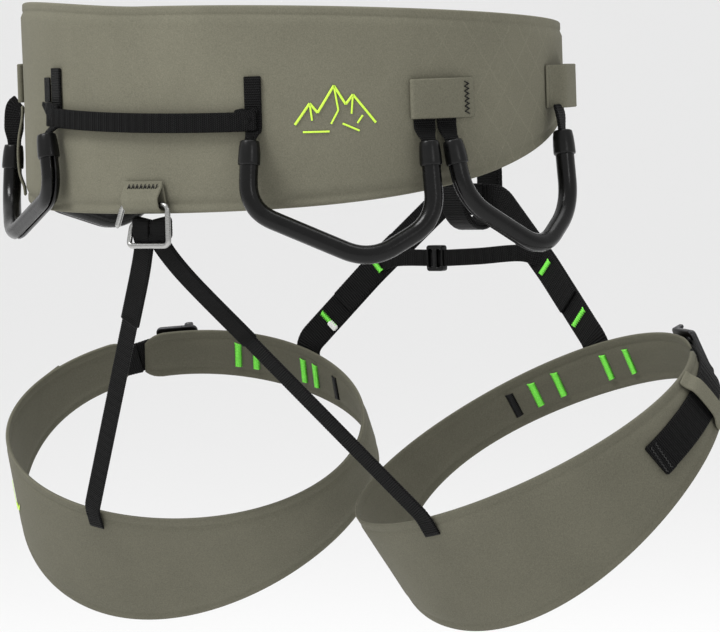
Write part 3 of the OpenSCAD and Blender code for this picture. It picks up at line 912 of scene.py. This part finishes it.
# ---------------------------------------------------------------- rear hook and its straps
REAR_STRAP_AT = 276
HOOK_X = 9.5
HOOK_W = 31.0
HOOK_R = 1.5
HOOK_LOW_Z = -71.0
HOOK_MID_Z = -59.3
HOOK_TOP_Z = -49.5
HOOK_Y = -BELT_HALF_D - 4.6
HOOK_MID_Y = -BELT_HALF_D - 1.2


def build_rear_tab():
    """Trapezoid of laminate folded round the hook's upper bar and sewn to the belt above it."""
    z_top, z_low = -37.0, -52.6
    left, right = HOOK_X - 19.5, HOOK_X + 8.0

    def face(k):
        return -BELT_HALF_D - 1.0 - 6.6 * smooth_step((k - 0.02) / 0.66)

    section = []
    for k in spread(0, 0.9, 0.06):
        section.append((face(k), z_top + (z_low - z_top) * k, k))
    for a in spread(10, 170, 20):
        section.append((HOOK_Y + 0.6 - 3.4 * cosd(a), z_low + 1.5 - 1.9 * sind(a), 1.0))
    for k in spread(0.85, 0.1, 0.1):
        section.append((-BELT_HALF_D - 0.9, z_top + (z_low - z_top) * k, k))
    rings = []
    for i, (y, z, k) in enumerate(section):
        x0 = left + 5.6 * k
        x1 = right + 2.8 * k
        before = section[max(0, i - 1)]
        after = section[min(len(section) - 1, i + 1)]
        along = Vector((0, after[0] - before[0], after[1] - before[1])).normalized()
        out = SIDEWAYS.cross(along)
        rings.append([Vector(((x0 + x1) / 2, y, z)) + SIDEWAYS * px * (x1 - x0) / 24 + out * py
                      for px, py in strap_section(24, 1.3)])
    piece = loft("rear_tab_visual", rings, OLIVE_PLAIN)
    attach(piece, "belt", "rear_tab")
    centre = Vector((HOOK_X - 4.4, face(0.22) - 0.75, -40.4))
    bar = tack("rear_tab_tack", centre, SIDEWAYS, UP, 21, 3.8,
               passes=15, r=0.34, rise=0.3)
    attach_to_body(bar, "belt")


def build_hook():
    x0 = HOOK_X - HOOK_W / 2 + HOOK_R
    x1 = HOOK_X + HOOK_W / 2 - HOOK_R
    corners = [(x1 - 2.6, HOOK_MID_Y, HOOK_MID_Z), (x0, HOOK_MID_Y, HOOK_MID_Z), (x0, HOOK_Y, HOOK_LOW_Z),
               (x1, HOOK_Y, HOOK_LOW_Z), (x1, HOOK_Y, HOOK_TOP_Z), (x0 - 3, HOOK_Y, HOOK_TOP_Z),
               (x0 - 7, HOOK_Y - 1, HOOK_TOP_Z - 12)]
    path = resample(rounded(corners, 3.2, 8), 0.7)
    rod = sweep("rear_hook_visual", path, HOOK_R, STEEL, sides=16, up=Vector((0.02, 1, 0.01)),
                taper=lambda k: min(1.0, 0.35 + min(k, 1 - k) * 60))
    attach(rod, "rear_link", "rear_hook")


def build_rear_riser(side, s):
    """Doubled elastic round the hook's free bar, sewn to a narrower strap that ends on the leg loop."""
    top = Vector((HOOK_X + s * 6.1, HOOK_MID_Y, HOOK_LOW_Z - 3.2))
    end = mirrored(leg_at(REAR_STRAP_AT, -0.03, 3.2), s)
    brk = top.lerp(end, 0.34 if s > 0 else 0.27)
    foot = mirrored(leg_at(REAR_STRAP_AT, 0.14, 2.7), s)
    across = Vector((1, 0, 0.2 * s))
    bar = Vector((top.x, HOOK_MID_Y, HOOK_MID_Z))
    loop = []
    for sign in (-1, 1):
        arc = [bar + Vector((0, sign * 2.3 * cos(a), 2.4 * sin(a))) for a in spread(pi / 2 + 0.03, 0, 0.2)]
        path = arc + [Vector((top.x, HOOK_MID_Y + sign * 2.3, HOOK_LOW_Z + 5)),
                      Vector((top.x, HOOK_MID_Y + sign * 0.95, HOOK_LOW_Z + 0.4)),
                      top.lerp(brk, 0.3) + Vector((0, sign * 0.8, 0)), brk + Vector((0, sign * 0.75, 0))]
        path = curve_points(path, 0.7)
        loop.append(strap("elastic_half", path, across, 11.3, 1.4, ELASTIC, rib=0.07))
    lower = resample(rounded([brk - (end - brk).normalized() * 4, end, foot], 4, 10), 0.8)
    narrow = strap("narrow_strap", lower, across, 10.2, 1.5, WEB, rib=0.1, end_round=0)
    seam = []
    d = (end - top).normalized()
    sd = (across - across.dot(d) * d).normalized()
    out = Vector((0, -1, 0))
    for row in (1.0, 2.6, 4.2):
        seam.append(tack("seam", brk - d * row + out * 1.4, sd, d, 8.8, 0.8,
                         passes=14, r=0.25, rise=0.2))
    strap_piece = join("rear_riser_" + side, loop + [narrow] + seam)
    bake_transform(strap_piece)
    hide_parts("rear_elastic_" + side, "rear_strap_" + side)


build_rear_tab()
build_hook()
for side, s in SIDES:
    build_rear_riser(side, s)


# ---------------------------------------------------------------- front: belay loop, tie-ins, risers
BELAY_W = 16.0
BELAY_T = 4.0
BELAY_H = 90.0
BELAY_D = 36.0
BELAY_LOW = FRONT_AXIS.z - 17
TIE_HALF = 12.0
SLIDER = Vector((-15, 137, -90))


def build_belay_loop():
    """Two turns of webbing lying on each other, sewn together down both runs."""
    turns = []
    top_c = BELAY_LOW + BELAY_H - BELAY_D / 2
    low_c = BELAY_LOW + BELAY_D / 2
    for layer in (0, 1):
        r_mid = BELAY_D / 2 - BELAY_T * (0.25 + 0.5 * layer)
        arc = []
        for first, centre, run in ((0, top_c, (top_c - 1.5, low_c + 1.5)),
                                   (180, low_c, (low_c + 1.5, top_c - 1.5))):
            arc += [Vector((0, FRONT_AXIS.y + r_mid * cosd(a), centre + r_mid * sind(a)))
                    for a in spread(first, first + 180, 6)]
            side_y = FRONT_AXIS.y + (r_mid if first else -r_mid)
            arc += [Vector((0, side_y, z)) for z in spread(*run, 1.5)]
        rings = []
        m = len(arc)
        for i, p in enumerate(arc):
            d = (arc[(i + 1) % m] - arc[i - 1]).normalized()
            n = d.cross(SIDEWAYS)
            rings.append(ribbed_ring(p, SIDEWAYS, n, BELAY_W - 0.3 * layer, BELAY_T / 2 - 0.05,
                                     0.06 * (1 if i % 2 else -1)))
        turns.append(loft(f"belay_turn_{layer}", rings, WEB, caps=False, wrap=True))
    rows = []
    for z in (-48, -42, -12, -6):
        for y_sign in (1, -1):
            centre = Vector((0, FRONT_AXIS.y + y_sign * (BELAY_D / 2), z))
            rows.append(tack("row", centre, SIDEWAYS, Vector((0, 0, y_sign)), 12.5, 2.2,
                             passes=20, r=0.28, rise=0.2))
    attach(join("belay_loop_visual", turns + rows), "belay_loop", "belay_loop")


def build_upper_tie_in():
    half, inner_y = 26.0, 120.1
    low_z = BELAY_LOW + BELAY_H - BELAY_T - 7
    up_z, turn_z = WAIST_WEB_Z + 11, WAIST_WEB_Z - 15
    corners = [(-half, inner_y, up_z), (-half, inner_y, turn_z), (-half + 4, FRONT_AXIS.y, low_z),
               (half - 4, FRONT_AXIS.y, low_z), (half, inner_y, turn_z), (half, inner_y, up_z)]
    path = resample(rounded(corners, 6, 8), 0.9)

    def across(i, p):
        inward = smooth_step((p.y - inner_y - 1) / 14)
        side_way = Vector((-1 if p.x < 0 else 1, 0, 0))
        return side_way * (1 - inward) + UP * max(inward, 0.001)

    body = strap("upper_tie_band", path, across, 11, 2.3, WEB, rib=0.1)
    over = strap("upper_tie_cover", [p for p in path if abs(p.x) < 19 and p.y > 140], UP, 12, 3.2,
                 WEB_FINE)
    tacks = []
    for s in (-1, 1):
        centre = Vector((s * half, inner_y + 1.2, WAIST_WEB_Z + 4))
        tacks.append(tack("tie_tack", centre, UP, Vector((s, 0, 0)), 9, 2.6, LIME, r=0.33))
    attach(join("upper_tie_in_visual", [body, over] + tacks), "belt", "upper_tie_in")


def build_lower_tie_in():
    y, z = FRONT_AXIS.y, FRONT_AXIS.z
    path = [Vector((x, y, z)) for x in spread(-TIE_HALF, TIE_HALF, 0.9)]
    body = strap("lower_tie_band", path, UP, 17, 2.6, WEB, rib=0.1, end_round=0)
    cover = strap("lower_tie_cover", [p for p in path if abs(p.x) < 9.5], UP, 17.6, 3.1, WEB_FINE)
    attach(join("lower_tie_in_visual", [body, cover]), "rear_link", "lower_tie_in")


def build_front_riser(side, s):
    """Webbing from the tie-in to the outside of the leg loop, doubled in its middle part."""
    a = 104 if s > 0 else 110
    foot = leg_at(a, 0.30, 2.4)
    lip = leg_at(a, -0.06, 2.2)
    start = Vector((TIE_HALF - 1.0, FRONT_AXIS.y, FRONT_AXIS.z))
    points = [start, start + Vector((8.5, 0, 0)), Vector((62, 140, -96)), lip, foot]
    path = mirror_all(resample(rounded(points, 6, 10), 0.9), s)
    facing = Vector((0, -1, 0))
    n = len(path)
    doubled = [p + facing * 1.75 for p in path[int(n * 0.34):int(n * 0.70)]]
    parts = [strap(name, line, lambda i, p: tangent(line, i).cross(facing), w, t, WEB, rib=0.1)
             for name, line, w, t in (("riser_band", path, 17, 1.7), ("riser_double", doubled, 16, 1.5))]
    foot_row = 0.79
    for k, wide_len, lift in ((0.475, 9.5, 2.7), (foot_row, 12, 1.0)):
        i = int(n * k)
        wide = tangent(path, i).cross(facing).normalized()
        parts.append(tack("riser_tack", path[i] + facing * lift, wide, facing.cross(wide), wide_len, 3.4,
                          LIME, passes=18, r=0.42))
    if s < 0:
        i = int(n * foot_row)
        wide = tangent(path, i).cross(facing).normalized()
        tag = [path[i] + facing * 1.7 + wide * x for x in spread(-8.2, -1.5, 0.9)]
        parts.append(strap("riser_tag", tag, tangent(path, i), 3.6, 0.5, WHITE))
    piece = join("front_riser_visual_" + side, parts)
    start, end = mirror_all(((12, 151, -58), (22, 150.5, -62)), s)
    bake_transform(piece)
    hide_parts("front_riser_" + side)


def build_cross_strap():
    mid_y, mid_z = SLIDER.y, SLIDER.z
    rows = {"right": [Vector((SLIDER.x + 4, mid_y - 0.4, mid_z)), Vector((15, mid_y, mid_z + 1)),
                      Vector((44, mid_y + 0.5, mid_z + 2.6)), Vector((58, mid_y + 2.6, mid_z - 1))],
            "left": [Vector((SLIDER.x + 5.4, mid_y + 0.3, mid_z)), Vector((-44, mid_y, mid_z)),
                     Vector((-58, mid_y + 2.6, mid_z - 4))]}
    for side, s in SIDES:
        path = curve_points(rows[side], 0.8)
        piece = strap("cross_strap_visual_" + side, path, UP, 9.2, 1.3, WEB, rib=0.1)
        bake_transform(piece)
        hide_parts("cross_strap_" + side)
    spot = (SLIDER, SIDEWAYS, UP, Vector((0, -1, 0)))
    holes = [round_rect(3, 9.8, 0.6, -3), round_rect(3, 9.8, 0.6, 3)]
    piece = plate("slider_visual", spot, round_rect(11.4, 14.4, 1.6), holes, -2.4, 2.4, PLASTIC, 0.7)
    attach(piece, "cross_strap_slider", "cross_strap_slider")


build_belay_loop()
build_upper_tie_in()
build_lower_tie_in()
build_cross_strap()
for side, s in SIDES:
    build_front_riser(side, s)


# ---------------------------------------------------------------- buckles and adjusting webbing
PIN_X = -7.0
PIN_Z = 3.8


def buckle_pieces(tag, spot, w, base_body, lever_body, base_node, lever_node):
    base_holes = [round_rect(5, w + 2, 1, -6.5), round_rect(6, w + 2, 1, 6)]
    base = plate("buckle_base_" + tag, spot, round_rect(24, w + 10, 3.2), base_holes, 0, 2.1, BUCKLE, 0.6)
    lugs = []
    for m in (-1, 1):
        lug_spot = (place(spot, (PIN_X, m * (w / 2 + 4.2), 1.2)), spot[1], spot[3], spot[2] * m)
        lugs.append(plate("lug", lug_spot, round_rect(4.8, 4.6, 1.4, 0, 1.6), [], -0.8, 0.8, BUCKLE, 0.3))
    attach(join("buckle_frame_" + tag, [base] + lugs), base_body, base_node)
    lever = plate("buckle_lever_" + tag, spot, round_rect(15, w + 6, 2.6, 1),
                  [round_rect(7, w - 1, 1.2, 2)], PIN_Z - 1, PIN_Z + 1, BUCKLE, 0.7)
    pin_line = [place(spot, (PIN_X, y, PIN_Z)) for y in spread(-w / 2 - 5, w / 2 + 5, 1.0)]
    pin = sweep("pin", pin_line, 1.0, STEEL, sides=14, up=spot[3])
    attach(join("buckle_tilting_frame_" + tag, [lever, pin]), lever_body, lever_node)


def build_waist_closure():
    z = WAIST_WEB_Z

    def run(name, path, w=WAIST_WEB_W, t=1.7):
        return strap(name, path, UP, w, t, WEB, rib=0.08)

    buckle_pieces("waist", on_belt(200, z, 2), WAIST_WEB_W, "belt", "waist_buckle_lever",
                  "waist_buckle_base", "waist_buckle_lever")
    main = run("waist_band", belt_path(146, 193.5, z, -2, 0.9))
    turn = [belt_at(t, z, off)
            for t, off in ((193, -2), (196.5, -0.2), (198.4, 3.4), (196.6, 4.2), (193.6, 1.6))]
    through = run("waist_turn", curve_points(turn, 0.8), WAIST_WEB_W - 0.6, 1.4)
    attach(join("waist_webbing_visual", [main, through]), "belt", "waist_webbing")
    anchor_path = belt_path(203.5, 214, z, lambda t: -2 + 3.4 * smooth_step((206.5 - t) / 3), 0.9)
    anchor = run("anchor_band", anchor_path)
    row = tack("anchor_tack", belt_at(208.6, z, -0.9), UP, belt_dir(208.6), 18, 2.8, LIME, passes=30, r=0.34)
    attach(join("waist_anchor_visual", [anchor, row]), "belt", "waist_anchor_webbing")
    tail_path = belt_path(157, 194.6, z, lambda t: 0.6 + 0.9 * smooth_step((t - 189) / 5), 0.9)
    tail = run("waist_tail_visual", tail_path, WAIST_WEB_W - 0.4)
    attach(tail, "belt", "waist_tail")
    keeper = keeper_band("waist_keeper_visual", on_belt(166, z, -0.8), WAIST_WEB_W + 2.4, 6.6, 10.6,
                         ELASTIC, closed=True)
    attach(keeper, "belt", "waist_tail_keeper")
    covers = []
    for sign in (1, -1):
        path = belt_path(139.5 * sign, 149.6 * sign, z, 0.7, 0.9)
        seam_at = 147.5 * sign
        covers += [strap("end_patch", path, UP, 25, 1.2, OLIVE_PLAIN),
                   tack("end_patch_tack", belt_at(seam_at, z, 1.4), UP, belt_dir(seam_at), 20, 2.6,
                        passes=30, r=0.28)]
    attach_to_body(join("belt_end_patches", covers), "belt")


def keeper_band(name, spot, w, h, length, mat, closed):
    """Band across the webbing: over it and down both sides, or right round it."""
    hw = w / 2
    if closed:
        hh = h / 2
        profile = [(-hw, -hh + 1), (-hw, hh - 1), (-hw + 1.2, hh), (hw - 1.2, hh), (hw, hh - 1),
                   (hw, -hh + 1), (hw - 1.2, -hh), (-hw + 1.2, -hh)]
        profile.append(profile[0])
    else:
        profile = [(-hw - 6.2, 0.2), (-hw - 2.6, 1.2), (-hw + 1.0, h * 0.82), (-hw + 4.5, h), (0, h * 1.06),
                   (hw - 4.5, h), (hw - 1.0, h * 0.82), (hw + 2.6, 1.2), (hw + 6.2, 0.2)]
    path = curve_points([place(spot, (0, y, z)) for y, z in profile], 0.8)
    return strap(name, path, spot[1], length, 1.1, mat)


def build_leg_details(side, s):
    body = "leg_loop_" + side
    spot = side_spot(on_leg(65, 0.5, 3.8), s)
    buckle_pieces("leg_" + side, spot, LEG_WEB_W, body, "leg_buckle_lever_" + side, "leg_buckle_base_" + side,
                  "leg_buckle_lever_" + side)

    def at(a, v, off):
        return mirrored(leg_at(a, v, off), s)

    def off(a):
        return 2.4 + 2.7 * smooth_step((a - 50) / 8) + 0.2 * smooth_step((6 - a) / 12)

    path = resample([at(a, 0.5, off(a)) for a in spread(61.5, -11, 0.6)], 0.85)
    across = mirrored(leg_down(25), s)
    band = strap("leg_band", path, across, LEG_WEB_W, 1.7, WEB, rib=0.12)
    end_out = mirrored(leg_n(-9, 0.5), s)
    hem = strap("leg_band_hem", [p + end_out * 1.1 for p in path[-10:]], across, LEG_WEB_W, 1.2, WEB,
                rib=0.1)
    sewn = [tack("hem_row", path[row] + end_out * 1.9, across, tangent(path, len(path) + row), 15.5, 1.0,
                 GREY_THREAD, passes=16, r=0.2, rise=0.1) for row in (-3, -7)]
    attach(join("leg_webbing_visual_" + side, [band, hem] + sewn), body, "leg_webbing_" + side)
    bridge_line = resample([at(a, 0.5, 0.6) for a in spread(38, 52, 0.6)], 0.85)
    bridge = strap("leg_bridge_" + side, bridge_line, across, LEG_WEB_W + 0.6, 1.7, WEB, rib=0.1)
    under = [at(a, 0.5, 2.0 + 1.9 * smooth_step((a - 54) / 10)) for a in spread(50, 72, 0.6)]
    anchor = strap("leg_anchor", resample(under, 0.85), across, LEG_WEB_W + 0.4, 1.6, WEB, rib=0.1)
    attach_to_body(join("leg_gap_webbing_" + side, [bridge, anchor]), body)
    keeper_spot = side_spot(on_leg(20, 0.5, 1.5), s)
    keeper = keeper_band("leg_keeper_visual_" + side, keeper_spot, LEG_WEB_W + 3, 4.1, 12,
                         OLIVE_PLAIN, closed=False)
    attach(keeper, body, "leg_keeper_" + side)

    def leg_tack(name, a, v, face, *rest, **more):
        """Bar tack down the leg loop, on its outer face where face is above 0."""
        out = mirrored(leg_n(a, v), s) * (1 if face > 0 else -1)
        down_way = mirrored(leg_down(a), s)
        return tack(name, at(a, v, face), down_way, out.cross(down_way), *rest, **more)

    tacks = []
    lo, hi = 0.25, 0.76
    for k, a in enumerate((128.3, 120, 102, 92.8, 136.2) if s > 0 else (114.8, 109.5, 91.2, 85, 125)):
        tacks.append(leg_tack("inner_tack", a, (lo + hi) / 2, -1.5, (hi - lo) * leg_height(a), 4.4,
                              LIME if k < 4 else BLACK_THREAD, passes=30, r=0.4, rise=0.3))
    for a in (99, 123):
        tacks.append(leg_tack("outer_tack", a, 0.51, 1.6, 12, 2.4, passes=20, r=0.3))
    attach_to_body(join("leg_tacks_" + side, tacks), body)


build_waist_closure()
for side, s in SIDES:
    build_leg_details(side, s)


# ---------------------------------------------------------------- printed marks: plain ridge lines
def stroke(name, point_at, a, b, width):
    """One flat printed stroke between two surface positions."""
    n = 12
    (u0, v0), (u1, v1) = a, b
    length = hypot(u1 - u0, v1 - v0)
    px, py = -(v1 - v0) / length * width / 2, (u1 - u0) / length * width / 2
    verts, faces = [], []
    for i in range(n + 1):
        u, v = u0 + (u1 - u0) * i / n, v0 + (v1 - v0) * i / n
        for lift in (0.0, 0.22):
            verts.append(point_at(u + px, v + py, lift))
            verts.append(point_at(u - px, v - py, lift))
    for i in range(n):
        k = 4 * i
        faces.append((k + 2, k + 3, k + 7, k + 6))
        faces.append((k + 2, k + 6, k + 4, k))
        faces.append((k + 1, k + 5, k + 7, k + 3))
    return make(name, verts, faces, MARK)


def outline_mark(name, spot, points, width):
    return [stroke(name, spot, a, b, width) for a, b in zip(points, points[1:])]


def build_marks():
    """Generic marks: a ridge line with contour strokes on the belt, a short one on the left leg."""
    def belt_spot(u, v, lift):
        return belt_at(43.5 + u / 2.55, v, 0.35 + lift)

    ridge = [(-22, -9), (-14, 2), (-10, -3), (-1, 11), (5, 1), (9, 6), (21, -9)]
    strokes = outline_mark("belt_mark", belt_spot, ridge, 1.3)
    for a, b in (((-1, 11), (1, -2)), ((1, -2), (-3, -9)), ((9, 6), (8, -4)), ((-14, 2), (-13, -7)),
                 ((3, -9), (12, -13)), ((-18, -13), (-4, -13)), ((14, -5), (11, -9))):
        strokes.append(stroke("belt_mark", belt_spot, a, b, 1.0))
    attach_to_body(join("belt_printed_mark", strokes), "belt")

    def leg_spot(u, v, lift):
        return mirrored(leg_at(328 + u / 1.9, 0.58 + v / 70, 1.75 + lift), -1)

    small = outline_mark("leg_mark", leg_spot, [(-12, -6), (-6, 2), (-3, -1), (2, 8), (6, 0), (12, -6)], 1.1)
    small.append(stroke("leg_mark", leg_spot, (2, 8), (3, -6), 0.9))
    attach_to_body(join("leg_printed_mark", small), "leg_loop_left")


build_marks()


# ---------------------------------------------------------------- floor, light and camera
def build_stage():
    half = 900.0
    floor_z = -0.62
    mesh = bpy.data.meshes.new("floor")
    corners = [(x * half, y * half, floor_z) for x, y in ((-1, -1), (1, -1), (1, 1), (-1, 1))]
    mesh.from_pydata(corners, [], [(0, 1, 2, 3)])
    floor = new_object("floor", mesh)
    paint = Look("pale_floor", 0.95, 0.1)
    paint.put("Base Color", (0.9, 0.9, 0.9, 1))
    mesh.materials.append(paint.mat)
    world = bpy.data.worlds.new("studio")
    world.use_nodes = True
    background = world.node_tree.nodes["Background"]
    background.inputs["Color"].default_value = (1, 1, 1, 1)
    background.inputs["Strength"].default_value = 0.9
    bpy.context.scene.world = world
    target = Vector((0.0, 0.0, -0.1))
    lamps = (("key", (-0.9, -2.0, 3.1), 1.5, 120),
             ("fill", (3.2, -1.2, 1.2), 0.5, 9),
             ("top", (0.2, 0.6, 3.4), 2.2, 40))
    for name, offset, size, power in lamps:
        lamp = bpy.data.lights.new(name, "AREA")
        lamp.shape = "DISK"
        lamp.size = size
        lamp.energy = power
        obj = new_object(name, lamp)
        obj.location = target + Vector(offset)
        obj.rotation_euler = (target - obj.location).to_track_quat("-Z", "Y").to_euler()


def build_camera():
    azimuth, elevation, roll = radians(40), radians(2.4), radians(1.8)
    distance = 4.5
    target = Vector((25.3, 21.2, -116)) * MM
    back = Vector((sin(azimuth) * cos(elevation), -cos(azimuth) * cos(elevation), sin(elevation)))
    flat = Vector((cos(azimuth), sin(azimuth), 0))
    rise = Vector((-sin(azimuth) * sin(elevation), cos(azimuth) * sin(elevation), cos(elevation)))
    right = flat * cos(roll) - rise * sin(roll)
    up = flat * sin(roll) + rise * cos(roll)
    camera = bpy.data.cameras.new("camera")
    camera.lens = 416
    camera.sensor_width = 36
    camera.clip_end = 3000
    obj = new_object("camera", camera)
    facing = Matrix((right, up, back)).transposed().to_4x4()
    obj.matrix_world = Matrix.Translation(target + back * distance) @ facing
    bpy.context.scene.camera = obj


build_stage()
build_camera()
bpy.context.scene.view_settings.view_transform = "Standard"
